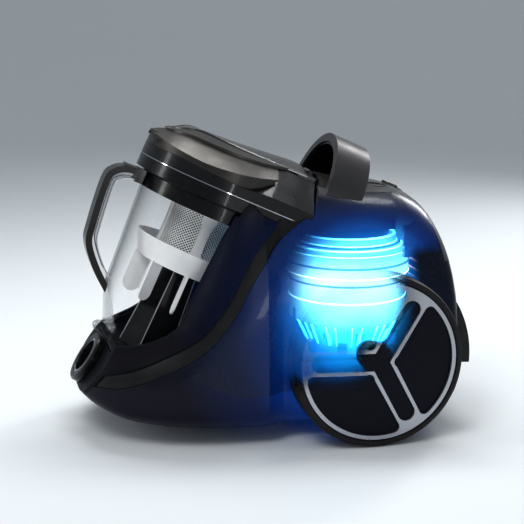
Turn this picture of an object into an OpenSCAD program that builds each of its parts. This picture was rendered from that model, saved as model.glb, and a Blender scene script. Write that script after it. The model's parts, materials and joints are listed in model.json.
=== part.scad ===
// Bagless canister vacuum cleaner. The front of the machine points to -X, the floor is z = 0.
// The body is one lofted envelope that is cut into separate shells. The dust bin, its separator
// and its lid are drawn in the bin frame, whose z axis is the leaning axis of the bin.

/* [Body] */
// Half length of the machine, nose to bumper
half_len = 210.5; // [208:0.5:216]
// Half width of the body at its widest
body_hw = 120; // [116:1:124]
// Half width of the body between the wheels
waist_hw = 108.5; // [107:0.5:109]
// Wall of the outer shells
wall = 3; // [2.5:0.1:3.5]
// Clearance of the hull above the floor
hull_z = 10; // [9:0.5:11]

/* [Wheels] */
// Outer radius of the rear tyre
wheel_r = 91; // [90:0.5:92]
// Width of a rear wheel
wheel_w = 34; // [32:1:35]
// Outer face of a rear wheel from the middle
wheel_face_y = 145; // [144:0.5:147]
// Rear axle behind the middle
wheel_x = 90; // [88:1:92]

/* [Dust bin] */
// Lean of the bin axis towards the rear
tilt = 24.5; // [24:0.5:25]
// Bin radius at its mouth
bin_top_r = 78; // [77:0.5:79]
// Bin radius at its floor
bin_low_r = 69; // [68:0.5:70]
// Depth of the bin floor under the lid joint
bin_depth = 197; // [195:1:199]
// Wall of the clear bin
bin_wall = 2.2; // [2:0.1:2.5]

/* [Motor] */
// Radius of the fan housing
motor_r = 66; // [62:1:67]
// Motor axis behind the middle
motor_x = 100; // [98:1:102]
// Top of the fan housing
motor_top = 203; // [200:1:204]
// Foot of the motor
motor_low = 64; // [62:1:66]

/* [Hose inlet] */
// Bore radius of the hose socket
socket_r = 18; // [17:0.5:19]
// Outer radius of the bright collar
collar_r = 29; // [28.5:0.5:29.5]

/* [Hidden] */
$fn = 72;

bin_at = [-46, 0, 257];            // where the bin axis meets the lid joint
bin_top = -30;                     // rim of the clear bin below the lid joint
lid_r = 86;                        // half width of lid and collar
lid_x = -4;                        // centre of their round front
lid_back = 83;                     // their flat rear
front_flat_x = -169;               // upright flat on the front of the bin
mid_z = 62;                        // height of the widest line of the body
nose_x = -half_len - 2.5;
tail_x = 193;
hinge_x = 79.5;
hinge_z = 51.5;
inlet_x = -7.1;
caster_x = -88;
caster_trail = 8;
caster_r = 12;
collar_at = [-195, 0, 79];
collar_lean = 55;                  // hose axis from upright, towards the front
hoop_r = 66;
hoop_x = 93;
hoop_z = 34.5;
hoop_w = 40;
axle_r = 6;
rim_lip = 1.3;                     // dark edge between tyre and bright inlay
fit_gap = 0.05;
big = 400;

// ---------------------------------------------------------------- helpers

// Catmull-Rom curve through hand-placed points, for x that rises along the list
function cr(p0, p1, p2, p3, t) =
    0.5 * (2 * p1 + (p2 - p0) * t + (2 * p0 - 5 * p1 + 4 * p2 - p3) * t * t
    + (3 * p1 - p0 - 3 * p2 + p3) * t * t * t);
function pt(l, i) = l[max(0, min(len(l) - 1, i))];
function spot(l, x, i = 0) = i >= len(l) - 2 || l[i + 1][0] >= x ? i : spot(l, x, i + 1);
function follow(l, x) =
    let (i = spot(l, x), t = max(0, min(1, (x - l[i][0]) / (l[i + 1][0] - l[i][0]))))
    l[i][1] + (l[i + 1][1] - l[i][1]) * t;
// the same points joined by a smooth line, n steps between each pair
function smooth_line(l, n = 5) = concat(
    [for (i = [0 : len(l) - 2]) for (k = [0 : n - 1])
        cr(pt(l, i - 1), pt(l, i), pt(l, i + 1), pt(l, i + 2), k / n)],
    [l[len(l) - 1]]);
function clamp01(v) = max(0, min(1, v));
function ease(v) = let (t = clamp01(v)) t * t * (3 - 2 * t);
function spow(v, e) = sign(v) * pow(abs(v), e);

// a closed solid through rings that have the same number of points
module loft(rings) {
    n = len(rings[0]);
    m = len(rings);
    polyhedron(
        points = [for (r = rings) each r],
        faces = concat(
            [for (j = [0 : m - 2]) for (i = [0 : n - 1])
                [j * n + i, j * n + (i + 1) % n, (j + 1) * n + (i + 1) % n]],
            [for (j = [0 : m - 2]) for (i = [0 : n - 1])
                [j * n + i, (j + 1) * n + (i + 1) % n, (j + 1) * n + i]],
            [[for (i = [n - 1 : -1 : 0]) i]],
            [[for (i = [0 : n - 1]) (m - 1) * n + i]]));
}

module bin_frame() {
    translate(bin_at) rotate([0, tilt, 0]) children();
}

// a side view outline in x and z, carried across the machine
module side_slab(points, y0 = -big, y1 = big) {
    translate([0, y1, 0]) rotate([90, 0, 0]) linear_extrude(y1 - y0) polygon(points);
}

// one mesh for a skin that is cut from the lofted envelope
module skin() {
    resize([0, 0, 0]) children();
}

module tube(r_out, r_in, h) {
    difference() {
        cylinder(r = r_out, h = h);
        translate([0, 0, -1]) cylinder(r = r_in, h = h + 2);
    }
}

module y_tube(r_out, r_in, y0, y1) {
    translate([0, y0, 0]) rotate([-90, 0, 0]) tube(r_out, r_in, y1 - y0);
}

module y_rod(r, y0, y1) {
    translate([0, y0, 0]) rotate([-90, 0, 0]) cylinder(r = r, h = y1 - y0);
}

// ---------------------------------------------------------------- body envelope

crest = smooth_line([
    [nose_x, 66], [-205, 86], [-190, 104], [-160, 120], [-130, 136], [-100, 165], [-70, 225],
    [-45, 275], [-20, 291], [10, 287], [40, 276], [65, 267], [90, 261], [124, 257], [141, 254],
    [156, 247], [173, 233], [186, 210], [tail_x, 187]]);
belly = smooth_line([
    [nose_x, 64], [-209, 55], [-202, 47], [-190, 37], [-165, 24], [-132, 17], [-87, hull_z + 3],
    [-34, hull_z + 0.5], [40, hull_z], [140, hull_z + 0.3], [180, 19], [tail_x, 30]]);
function body_w(x) =
    x < -20 ? body_hw * pow(1 - pow(clamp01((-20 - x) / (-20 - nose_x)), 2.3), 1 / 2.3)
    : x < 180 ? body_hw - (body_hw - waist_hw) * ease((x + 20) / 18)
    : waist_hw - 15 * (1 - sqrt(1 - pow(clamp01((x - 180) / 15), 2)));
function keel(x) = follow(belly, x);
function top_power(x) = 2 + clamp01((x + 120) / 100);

// one ring of the envelope, pulled in by the inset
function body_ring(x, inset, n = 44) =
    let (w = max(0.6, body_w(x) - inset), up = max(0.6, follow(crest, x) - mid_z - inset),
         down = max(0.6, mid_z - keel(x) - inset), p = top_power(x))
    [for (i = [0 : n - 1]) let (a = 360 * i / n, c = cos(a), s = sin(a))
        s >= 0 ? [x, -w * spow(c, 2 / p), mid_z + up * spow(s, 2 / p)]
               : [x, -w * spow(c, 2 / 4.2), mid_z + down * spow(s, 2 / 4.2)]];

stations = [-213, -211.5, -209, -205, -200, -194, -187, -179, -170, -160, -148, -136, -124, -112,
    -100, -88, -78, -68, -58, -48, -36, -20, -11, -2, 16, 40, 64, 90, 110, 128, 142, 156, 168,
    176, 183, 188, 191, tail_x];

module envelope(inset = 0) {
    loft([for (x = stations) body_ring(x == tail_x ? x - inset : x == -213 ? x + inset : x, inset)]);
}

module envelope_skin(depth = 0) {
    difference() {
        envelope(depth);
        envelope(depth + wall);
    }
}

// lower and upper edge of the dark sweep that runs from the nose to the lid
sweep_low = smooth_line([
    [-216, 60], [-190, 62], [-168, 64], [-141, 73], [-106, 89], [-79, 108], [-54, 138],
    [-36, 170], [-12, 204], [16, 226], [34, 236]], 4);
sweep_high = smooth_line([
    [-216, 71], [-190, 74], [-166, 80], [-141, 89], [-106, 106], [-82, 124], [-60, 152],
    [-44, 182], [-24, 212], [2, 234], [20, 246]], 4);
// edge of the body beside the open front of the bin
mouth_edge = smooth_line([
    [-190, 93], [-176, 100], [-156, 103], [-130, 110], [-109, 123], [-97, 142], [-90, 164],
    [-53, 227], [-30, 262]], 4);
// joint between the base hull and the upper shells
joint_line = [[-112, 84.5], [-54, 56], [230, 56]];

module below_joint() {
    low = [for (p = sweep_low) if (p[0] <= -112) p];
    side_slab(concat([[-230, 0]], [[-230, 60]], low, joint_line, [[230, 0]]));
}

module behind_sweep() {
    side_slab(concat([for (p = sweep_low) p], [[34, 400], [230, 400], [230, 0], [-216, 0]]));
}

module in_sweep() {
    side_slab(concat(sweep_low, [for (i = [len(sweep_high) - 1 : -1 : 0]) sweep_high[i]]));
}

module above_sweep_below_mouth() {
    side_slab(concat(sweep_high, [for (i = [len(mouth_edge) - 1 : -1 : 0]) mouth_edge[i]]));
}

// the space of bin, collar and lid, with room around it
module lid_outline(grow = 0) {
    intersection() {
        union() {
            translate([lid_x, 0]) circle(r = lid_r + grow);
            translate([lid_x, -lid_r - grow]) square([big, 2 * (lid_r + grow)]);
        }
        translate([-big, -big]) square([big + lid_back + grow, 2 * big]);
    }
}

module bin_space(grow, lid_gap = 1.2) {
    bin_frame() {
        translate([0, 0, -bin_depth - grow])
            cylinder(r1 = bin_low_r + grow, r2 = bin_top_r + grow + 0.3,
                h = bin_depth + bin_top + grow + 0.01);
        translate([0, 0, bin_top]) cylinder(r = 81 + lid_gap, h = 17);
        translate([0, 0, -16 - lid_gap]) linear_extrude(200) lid_outline(lid_gap);
    }
}

module nose_cut(back) {
    hose_frame() translate([0, 0, -back]) cylinder(r = 150, h = 300);
}

module hose_frame() {
    translate(collar_at) rotate([0, -collar_lean, 0]) children();
}

// ---------------------------------------------------------------- outer shells

module base_hull() {
    color([0.1, 0.1, 0.12]) skin() difference() {
        intersection() {
            envelope_skin();
            below_joint();
        }
        nose_cut(12.1);
        translate([caster_x, 0, 0]) cylinder(r = 24, h = 40);
        bin_space(4.2);
        for (a = [45 : 90 : 315]) translate([motor_x, 0, 0]) rotate([0, 0, a]) translate([45, 0, 0])
            cylinder(r = 4.3, h = 20, $fn = 32);
    }
}

module side_shell(s) {
    color([0.12, 0.14, 0.2, 0.6]) skin() difference() {
        intersection() {
            envelope_skin();
            behind_sweep();
            translate([-big, s > 0 ? 0 : -big, 0]) cube([2 * big, big, big]);
        }
        below_joint();
        translate([-big, -big, -big]) cube([big - 113.9, 2 * big, 2 * big]);
        cover_zone(0.4);
        tail_zone(0.4);
        grille_zone(0.4);
        bin_space(3.8);
        translate([170, 76, 84]) rotate([0, 90, 0]) cylinder(r = 7, h = 40);
        translate([wheel_x, 0, wheel_r]) y_rod(axle_r + 0.4, -140, 140);
    }
}

module side_shell_left() {
    side_shell(-1);
}

module side_shell_right() {
    side_shell(1);
}

module sweep_trim() {
    color([0.03, 0.03, 0.04]) skin() difference() {
        intersection() {
            envelope_skin(2.4);
            in_sweep();
        }
        bin_space(3.8);
        nose_cut(12.1);
    }
}

module cradle_band() {
    color([0.16, 0.16, 0.17]) skin() difference() {
        union() {
            intersection() {
                envelope_skin();
                above_sweep_below_mouth();
                hose_frame() translate([0, 0, -309]) cylinder(r = 250, h = 300);
            }
            intersection() {
                envelope(0.1);
                hose_frame() translate([0, 0, -12]) cylinder(r = 150, h = 3);
                side_slab([[-230, 20], [-230, 90], [-190, 92], [-176, 99], [-160, 99], [-160, 20]]);
            }
        }
        bin_space(3.8);
        hose_frame() translate([0, 0, -20]) cylinder(r = socket_r + 3.3, h = 40);
    }
}

// the cup that the bin stands in, cut down along the same edge as the body
module bin_cup() {
    intersection() {
        bin_frame() difference() {
            union() {
                translate([0, 0, -bin_depth - 3.6])
                    cylinder(r1 = bin_low_r + 3.3, r2 = bin_top_r + 2.6, h = bin_depth - 33.4);
                translate([inlet_x, 0, -bin_depth - 10.3]) cylinder(r = socket_r + 2, h = 7);
            }
            translate([0, 0, -bin_depth - 1.2])
                cylinder(r1 = bin_low_r + 1.2, r2 = bin_top_r + 0.6, h = bin_depth - 35.7);
            translate([inlet_x, 0, -bin_depth - 20]) cylinder(r = socket_r - 0.5, h = 30);
        }
        side_slab([[-172, 30], [-172, 96], [-156, 99], [-130, 106], [-106, 120], [-92, 142], [-46, 226],
            [-10, 300], [90, 300], [90, 30]]);
    }
}

// deck around the top of the cup and upright wall to the motor room, with the air window
module bay_deck() {
    difference() {
        intersection() {
            envelope(wall + 0.3);
            bin_frame() union() {
                translate([lid_back + 3, -101, -24.2]) cube([2.5, 202, 120]);
                translate([0, 0, -24]) linear_extrude(3) lid_outline(3.1);
                translate([0, 0, -39]) cylinder(r = 84.6, h = 16.5);
            }
            side_slab([[-54, 200], [-10, 300], [120, 300], [120, 150], [-54, 150]]);
        }
        bin_frame() translate([lid_back, -36, -8]) cube([10, 72, 26]);
        bin_frame() translate([0, 0, -36]) cylinder(r = 82.4, h = 60);
        bin_frame() translate([0, 0, -50]) cylinder(r = 80.9, h = 60);
    }
}

module bin_bay() {
    color([0.1, 0.1, 0.11]) skin() union() {
        bin_cup();
        bay_deck();
    }
}

// top cover behind the lid: its outline seen from above
module cover_zone(grow = 0) {
    intersection() {
        translate([0, 0, 195]) linear_extrude(200) polygon([
            [20, -56 - grow], [96, -52 - grow], [140, -46 - grow], [168 + grow, -38 - grow],
            [168 + grow, 38 + grow], [140, 46 + grow], [96, 52 + grow], [20, 56 + grow]]);
        bin_frame() translate([lid_back + 3, -big, -200]) cube([big, 2 * big, 500]);
    }
}

module top_cover() {
    color([0.2, 0.2, 0.21]) skin() difference() {
        intersection() {
            envelope_skin();
            cover_zone();
        }
        for (y = [-24, 24]) button_frame(y) translate([0, 0, -20]) cylinder(r = 10.4, h = 40, $fn = 40);
        dial_frame() translate([0, 0, -20]) cylinder(r = 13.4, h = 40, $fn = 40);
    }
}

module tail_zone(grow = 0) {
    side_slab([[164 - grow, 300], [169 - grow, 226], [173 - grow, 214], [178 - grow, 190],
        [179 - grow, 181 - grow], [240, 181 - grow], [240, 300]]);
}

module grille_zone(grow = 0) {
    translate([184 - grow, -64 - grow, 66 - grow]) cube([60, 128 + 2 * grow, 113.6 + 2 * grow]);
}

module exhaust_cover() {
    color([0.55, 0.55, 0.56]) skin() intersection() {
        envelope_skin();
        tail_zone();
    }
}

module exhaust_grille() {
    color([0.1, 0.1, 0.11]) difference() {
        translate([189.6, -63.6, 66.2]) cube([3.2, 127.2, 113.2]);
        for (i = [0 : 9]) translate([180, -52, 75 + i * 10]) cube([40, 104, 4.4]);
    }
}

// ---------------------------------------------------------------- carry handle and controls

module hoop(r_out, r_in, x0, w) {
    bin_frame() translate([x0, 0, hoop_z]) rotate([0, 90, 0]) tube(r_out, r_in, w);
}

module carry_handle() {
    color([0.4, 0.4, 0.41]) skin() difference() {
        hoop(hoop_r, hoop_r - 9, hoop_x, hoop_w);
        envelope(-0.06);
        translate([-big, -big, -big]) cube([2 * big, 2 * big, big + 225]);
    }
}

module handle_lining() {
    color([0.03, 0.03, 0.03]) skin() difference() {
        hoop(hoop_r - 9, hoop_r - 12, hoop_x + 2, hoop_w - 4);
        envelope(-0.06);
        translate([-big, -big, -big]) cube([2 * big, 2 * big, big + 225]);
    }
}

module button_frame(y) {
    translate([124, y, 254.6]) rotate([0, 7, 0]) children();
}

module dial_frame() {
    translate([151, 0, 249.2]) rotate([0, 30, 0]) children();
}

module button(y) {
    color([0.3, 0.3, 0.31]) button_frame(y) {
        translate([0, 0, -3]) cylinder(r = 10, h = 3.6);
        translate([0, 0, -9]) cylinder(r = 4, h = 7);
    }
}

module power_button() {
    button(-24);
}

module rewind_button() {
    button(24);
}

module suction_dial() {
    color([0.3, 0.3, 0.31]) dial_frame() {
        translate([0, 0, -4]) cylinder(r = 13, h = 5);
        translate([-1.5, -11, 0.5]) cube([3, 22, 2]);
        translate([0, 0, -10]) cylinder(r = 3, h = 7);
    }
}

module rear_bumper() {
    color([0.07, 0.07, 0.07]) difference() {
        translate([96, 92, 76]) rotate([90, 0, 0]) rotate([0, 0, -4])
            strip(104.5, half_len - 96, 184, 44);
        translate([93.3, -200, -100]) cube([100, 400, 400]);
        translate([185, 76, 84]) rotate([0, 90, 0]) cylinder(r = 10, h = 40);
    }
}

// a strip of a ring, h wide, over an angle
module strip(r0, r1, h, angle) {
    rotate_extrude(angle = angle) translate([r0, 0]) square([r1 - r0, h]);
}

// ---------------------------------------------------------------- hose inlet

module hose_collar() {
    color([0.3, 0.3, 0.31]) hose_frame() difference() {
        union() {
            translate([0, 0, -9]) cylinder(r = collar_r, h = 7);
            translate([0, 0, -2.01]) cylinder(r1 = collar_r, r2 = collar_r - 2, h = 2);
        }
        translate([0, 0, -20]) cylinder(r = socket_r + 3.1, h = 40);
    }
}

module hose_socket() {
    color([0.75, 0.75, 0.75]) hose_frame() difference() {
        translate([0, 0, -26]) cylinder(r = socket_r + 3, h = 25.4);
        translate([0, 0, -60]) cylinder(r = socket_r, h = 80);
    }
}

// rubber rings of the air path: behind the hose socket and on top of the motor
module air_seals() {
    color([0.1, 0.1, 0.1]) {
        hose_frame() translate([0, 0, -29]) tube(socket_r + 3, socket_r - 1, 3);
        translate([motor_x, 0, motor_top - 3]) tube(46, 30.5, 8.4);
    }
}

// short elbow that joins the hose socket to the opening in the cup
module inlet_duct() {
    bend = 22;
    color([0.14, 0.14, 0.15]) hose_frame() translate([bend, 0, -29.2]) rotate([90, 0, 0])
        rotate([0, 0, 180]) rotate_extrude(angle = 100.5) translate([bend, 0]) difference() {
            circle(r = socket_r + 2);
            circle(r = socket_r - 0.5);
        }
}

// ---------------------------------------------------------------- air path and electrics

module outlet_duct() {
    color([0.2, 0.22, 0.26]) difference() {
        side_slab([[32.5, 211], [43, 235], [54, 238], [141, 238], [141, 208.5], [60, 208.5],
            [40, 207.8]], -42, 42);
        side_slab([[31.5, 213], [43, 233], [54, 236], [139, 236], [139, 210.5], [60, 210.5],
            [40, 210]], -40, 40);
        translate([motor_x, 0, 200]) cylinder(r = 30, h = 20);
    }
}

module hepa_frame() {
    color([0.5, 0.52, 0.55]) difference() {
        union() {
            translate([144, -63, 181]) cube([35, 126, 12]);
            translate([144, -63, 206]) cube([31, 126, 8]);
            translate([144, -60, 192.9]) cube([29, 120, 13.2]);
        }
        translate([motor_x, 0, 150]) cylinder(r = motor_r + 5.5, h = 100);
        translate([172, -59, 184]) cube([20, 118, 6.5]);
        for (s = [-1, 1]) translate([150, s > 0 ? 8 : -58, 183]) cube([15, 50, 27]);
    }
}

module hepa_media() {
    color([0.9, 0.9, 0.86]) difference() {
        for (s = [-1, 1]) translate([150.2, s > 0 ? 20 : -57.8, 183.2]) cube([14.6, 37.6, 26.6]);
        translate([motor_x, 0, 150]) cylinder(r = motor_r + 6.5, h = 100);
        for (s = [-1, 1]) for (i = [0 : 6]) translate([153, s > 0 ? 22 + i * 5 : -55.8 + i * 5, 186])
            cube([14, 2.6, 21]);
    }
}

module control_board() {
    color([0.05, 0.3, 0.12]) union() {
        translate([62, -36, 240]) cube([46, 72, 1.6]);
        for (y = [-28, 10]) translate([70, y, 241.6]) cube([14, 16, 5]);
        translate([94, -12, 241.6]) cylinder(r = 5, h = 6);
        for (x = [66, 104]) for (y = [-32, 32]) translate([x, y, 238.1]) cylinder(r = 2.5, h = 2);
    }
}

module cord_outlet() {
    color([0.06, 0.06, 0.06]) translate([0, 76, 84]) rotate([0, 90, 0]) difference() {
        union() {
            translate([0, 0, 184]) cylinder(r = 6.5, h = 10);
            translate([0, 0, 193.2]) cylinder(r = 8, h = 2.5);
        }
        translate([0, 0, 170]) cylinder(r = 4.2, h = 40);
    }
}

module reel_base() {
    color([0.16, 0.17, 0.2]) translate([2, 0, 13.9]) {
        tube(43, 41, 24);
        difference() {
            cylinder(r = 42, h = 3);
            translate([0, 0, -1]) cylinder(r = 3, h = 5);
        }
        translate([0, 0, 2.9]) tube(11, 8, 5);
    }
}

module reel_drum() {
    color([0.3, 0.3, 0.33]) translate([2, 0, 24]) difference() {
        union() {
            cylinder(r = 40, h = 2.5);
            translate([0, 0, 2]) cylinder(r = 17, h = 36);
            translate([0, 0, 37]) cylinder(r = 40, h = 2.5);
        }
        translate([0, 0, -1]) cylinder(r = 14, h = 36);
    }
}

// ---------------------------------------------------------------- motor

module motor_cradle() {
    color([0.1, 0.1, 0.11]) translate([motor_x, 0, 0]) difference() {
        union() {
            translate([0, 0, 56]) tube(44, 40, 14);
            translate([0, 0, 53]) tube(52, 30, 3.01);
            for (a = [45 : 90 : 315]) rotate([0, 0, a]) translate([45, 0, 13.5])
                cylinder(r = 6.5, h = 39.6);
        }
        for (a = [45 : 90 : 315]) rotate([0, 0, a]) translate([45, 0, 10]) cylinder(r = 2.05, h = 22);
    }
}

module motor_cover() {
    color([0.75, 0.78, 0.8]) translate([motor_x, 0, 0]) difference() {
        union() {
            translate([0, 0, 158]) cylinder(r = motor_r + 2, h = 26);
            translate([0, 0, 184]) cylinder(r1 = motor_r + 1, r2 = 54, h = 8);
            translate([0, 0, 192]) cylinder(r = 54, h = motor_top - 195);
        }
        translate([0, 0, 150]) cylinder(r = motor_r - 1, h = 32);
        translate([0, 0, 181]) cylinder(r = 50, h = 17);
        translate([0, 0, 190]) cylinder(r = 29, h = 20);
    }
}

module motor_can() {
    color([0.7, 0.72, 0.75]) translate([motor_x, 0, 0]) difference() {
        union() {
            translate([0, 0, 108]) cylinder(r = motor_r - 1, h = 50);
            translate([0, 0, 70]) cylinder(r1 = 40, r2 = 58, h = 38.01);
        }
        translate([0, 0, 110]) cylinder(r = motor_r - 3.5, h = 60);
        translate([0, 0, 73]) cylinder(r1 = 37, r2 = 55, h = 37.5);
        translate([0, 0, 60]) cylinder(r = 9, h = 20);
        for (a = [0 : 45 : 315]) rotate([0, 0, a]) translate([30, -6, 80]) cube([40, 12, 16]);
    }
}

module stator() {
    color([0.55, 0.3, 0.15]) translate([motor_x, 0, 100]) difference() {
        union() {
            cylinder(r = 46, h = 42);
            for (s = [-1, 1]) translate([-30, s > 0 ? 26 : -38, 0.5]) cube([60, 12, 46.5]);
        }
        translate([0, 0, -10]) cylinder(r = 25, h = 70);
    }
}

module rotor() {
    color([0.6, 0.6, 0.62]) translate([motor_x, 0, 0]) {
        translate([0, 0, 70]) cylinder(r = 4, h = 122);
        translate([0, 0, 100]) tube(24, 4, 42);
        translate([0, 0, 82]) tube(12, 4, 14);
    }
}

module impeller() {
    color([0.85, 0.86, 0.88]) translate([motor_x, 0, 168]) {
        difference() {
            union() {
                cylinder(r = 62, h = 1.6);
                cylinder(r = 12, h = 10);
                for (i = [0 : 8]) rotate([0, 0, i * 40]) translate([16, 0, 1.5])
                    rotate([0, 0, 28]) cube([42, 1.6, 7]);
            }
            translate([0, 0, -1]) cylinder(r = 4, h = 20);
        }
    }
}

module motor_bearings() {
    color([0.8, 0.8, 0.82]) translate([motor_x, 0, 0]) {
        translate([0, 0, 70]) tube(8.95, 4 + fit_gap, 7);
        translate([0, 0, 148]) tube(11, 4 + fit_gap, 7);
        translate([0, 0, 149]) tube(62.4, 11, 3);
    }
}

// ---------------------------------------------------------------- running gear

module axles() {
    color([0.7, 0.7, 0.7]) for (s = [-1, 1]) translate([wheel_x, 0, wheel_r]) {
        y_rod(axle_r, s > 0 ? 101 : -133, s > 0 ? 133 : -101);
        y_rod(12, s > 0 ? 101 : -104.4, s > 0 ? 104.4 : -101);
    }
}

module tyre(s) {
    y0 = s > 0 ? wheel_face_y - wheel_w : -wheel_face_y;
    w = wheel_w;
    color([0.16, 0.15, 0.15]) translate([wheel_x, y0, wheel_r]) rotate([-90, 0, 0])
        rotate_extrude() translate([wheel_r - 7, 0]) polygon([
            [0, 0], [3, 0], [5.6, 2], [7, 6.5], [7, w - 6.5], [5.6, w - 2], [3, w], [0, w]]);
}

module tyre_left() {
    tyre(-1);
}

module tyre_right() {
    tyre(1);
}

// dished wheel: the web sits back from the outer face and a bored boss turns on the axle
module wheel(s) {
    rim = wheel_r - 7.05;
    inner = wheel_face_y - wheel_w;
    color([0.1, 0.1, 0.13]) translate([wheel_x, 0, wheel_r]) mirror([0, s > 0 ? 0 : 1, 0]) difference() {
        union() {
            y_tube(rim, rim - 3, inner, wheel_face_y - 3.5);
            y_tube(rim, rim - rim_lip, wheel_face_y - 3.6, wheel_face_y - 0.8);
            y_rod(rim - 2.9, wheel_face_y - 7, wheel_face_y - 3.5);
            y_rod(15, inner + 1.5, wheel_face_y - 6);
            for (a = [-62 : 120 : 178]) rotate([0, -a, 0])
                translate([12, inner + 14, -1.5]) cube([rim - 14, wheel_face_y - inner - 20, 3]);
        }
        y_rod(axle_r + fit_gap, inner - 5, wheel_face_y - 9.9);
        for (a = [-2 : 120 : 238]) translate([0, wheel_face_y - 4.3, 0]) rotate([-90, 0, 0])
            rotate([0, 0, -a]) linear_extrude(3) window(0);
    }
}

module wheel_left() {
    wheel(-1);
}

module wheel_right() {
    wheel(1);
}

// a dark window of the wheel: a sector with round corners, grown or shrunk by d
module window(d) {
    half = 12.5 - d;
    r = wheel_r - 12.4 + d;
    k = 6 + d;
    a1 = asin((half + k) / (r - k));
    polygon(concat(
        [for (a = [-60 : 20 : 60]) let (c = (half + k) / sin(60)) [c - k * cos(a), -k * sin(a)]],
        [for (a = [-150 : 30 : -60 + a1]) let (w = 60 - a1)
            [(r - k) * cos(w) + k * cos(a), -(r - k) * sin(w) + k * sin(a)]],
        [for (i = [-12 : 12]) let (a = i / 12 * (60 - a1)) [r * cos(a), r * sin(a)]],
        [for (a = [60 - a1 : 30 : 150]) let (w = 60 - a1)
            [(r - k) * cos(w) + k * cos(a), (r - k) * sin(w) + k * sin(a)]]));
}

// bright inlay: a ring and a web, open over the windows and over the three dark spokes
module wheel_inlay(s) {
    rim = wheel_r - 7.1 - rim_lip;
    color([0.75, 0.75, 0.77]) translate([wheel_x, 0, wheel_r]) mirror([0, s > 0 ? 0 : 1, 0])
        translate([0, wheel_face_y - 3.5, 0]) rotate([-90, 0, 0]) linear_extrude(2.5) difference() {
            circle(r = rim);
            for (a = [-2 : 120 : 238]) rotate([0, 0, -a]) window(0);
            for (a = [-62 : 120 : 178]) rotate([0, 0, -a]) {
                translate([0, -9.4]) square([rim - 20, 18.8]);
                translate([rim - 20, 0]) circle(r = 9.4);
            }
        }
}

module wheel_inlay_left() {
    wheel_inlay(-1);
}

module wheel_inlay_right() {
    wheel_inlay(1);
}

module caster_cup() {
    color([0.08, 0.08, 0.08]) translate([caster_x, 0, 0]) difference() {
        union() {
            translate([0, 0, 15]) cylinder(r = 23.6, h = 24);
            translate([0, 0, 38]) cylinder(r = 8, h = 11);
        }
        translate([0, 0, 10]) cylinder(r = 21.6, h = 27);
        translate([0, 0, 30]) cylinder(r = 4 + fit_gap, h = 17);
    }
}

module caster_fork() {
    color([0.1, 0.1, 0.1]) translate([caster_x, 0, 0]) {
        translate([0, 0, 30]) cylinder(r = 16, h = 5);
        translate([0, 0, 34]) cylinder(r = 4, h = 12);
        for (y = [-11, 8]) translate([caster_trail - 6, y, 8]) cube([12, 3, 23]);
    }
    color([0.1, 0.1, 0.1]) translate([caster_x + caster_trail, 0, caster_r]) y_rod(2, -10.9, 10.9);
}

module caster_wheel() {
    color([0.2, 0.2, 0.2]) translate([caster_x + caster_trail, 0, caster_r]) difference() {
        y_rod(caster_r, -7, 7);
        y_rod(2.05, -10, 10);
    }
}

module base_screws() {
    color([0.6, 0.6, 0.6]) for (a = [45 : 90 : 315]) translate([motor_x, 0, 10.4]) rotate([0, 0, a])
        translate([45, 0, 0]) difference() {
            union() {
                cylinder(r = 4, h = 2.6);
                cylinder(r = 2, h = 19);
            }
            translate([0, 0, -1]) cylinder(r = 1.5, h = 2.6, $fn = 6);
        }
}

// ---------------------------------------------------------------- dust bin

module bin_solid(grow) {
    intersection() {
        bin_frame() translate([0, 0, -bin_depth - grow])
            cylinder(r1 = bin_low_r + grow, r2 = bin_top_r + grow, h = bin_depth + bin_top + grow);
        translate([front_flat_x - grow, -big, 0]) cube([big, 2 * big, big]);
    }
}

module bin_body() {
    color([0.8, 0.85, 0.85, 0.25]) difference() {
        bin_solid(0);
        difference() {
            bin_solid(-bin_wall);
            bin_frame() translate([0, 0, bin_top - bin_wall - 1]) cylinder(r = 90, h = 10);
        }
        bin_frame() translate([0, 0, bin_top - bin_wall - 1.01])
            cylinder(r = bin_top_r - bin_wall - 0.2, h = 10);
        bin_frame() translate([inlet_x, 0, -bin_depth - 10]) cylinder(r = socket_r, h = 20);
    }
}

module bin_seal() {
    color([0.05, 0.05, 0.05]) bin_frame() translate([0, 0, -14.6]) tube(80, 76, 2.1);
}

// side view of the front handle in the bin frame: outer line, then the lines inside it
handle_line = smooth_line([
    [-88, -15.6], [-101, -17.5], [-113, -25], [-118.5, -40], [-114, -90], [-109, -111],
    [-90, -134], [-69, -152]], 4);
function unit(v) = v / norm(v);
function offset_line(l, d) = [for (i = [0 : len(l) - 1])
    let (t = unit(pt(l, i + 1) - pt(l, i - 1))) [l[i][0] + t[1] * -d, l[i][1] + t[0] * d]];

module handle_strip(d0, d1, hw) {
    inner = offset_line(handle_line, d1);
    bin_frame() translate([0, hw, 0]) rotate([90, 0, 0]) linear_extrude(2 * hw)
        polygon(concat(offset_line(handle_line, d0), [for (i = [len(inner) - 1 : -1 : 0]) inner[i]]));
}

// the clear bin and its rim, taken out of the ends of the handle
module handle_root(bite = 0) {
    bin_frame() translate([0, 0, -bin_depth - 8])
        cylinder(r1 = bin_low_r - 0.43, r2 = bin_top_r, h = bin_depth + bin_top + 8);
    translate([front_flat_x, -big, 0]) cube([big, 2 * big, 170]);
    bin_frame() translate([0, 0, bin_top - 1]) cylinder(r = 80.55 - bite, h = 40);
    bin_frame() translate([-88.05 + bite, -12.05, bin_top]) cube([20, 24.1, 40]);
}

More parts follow.
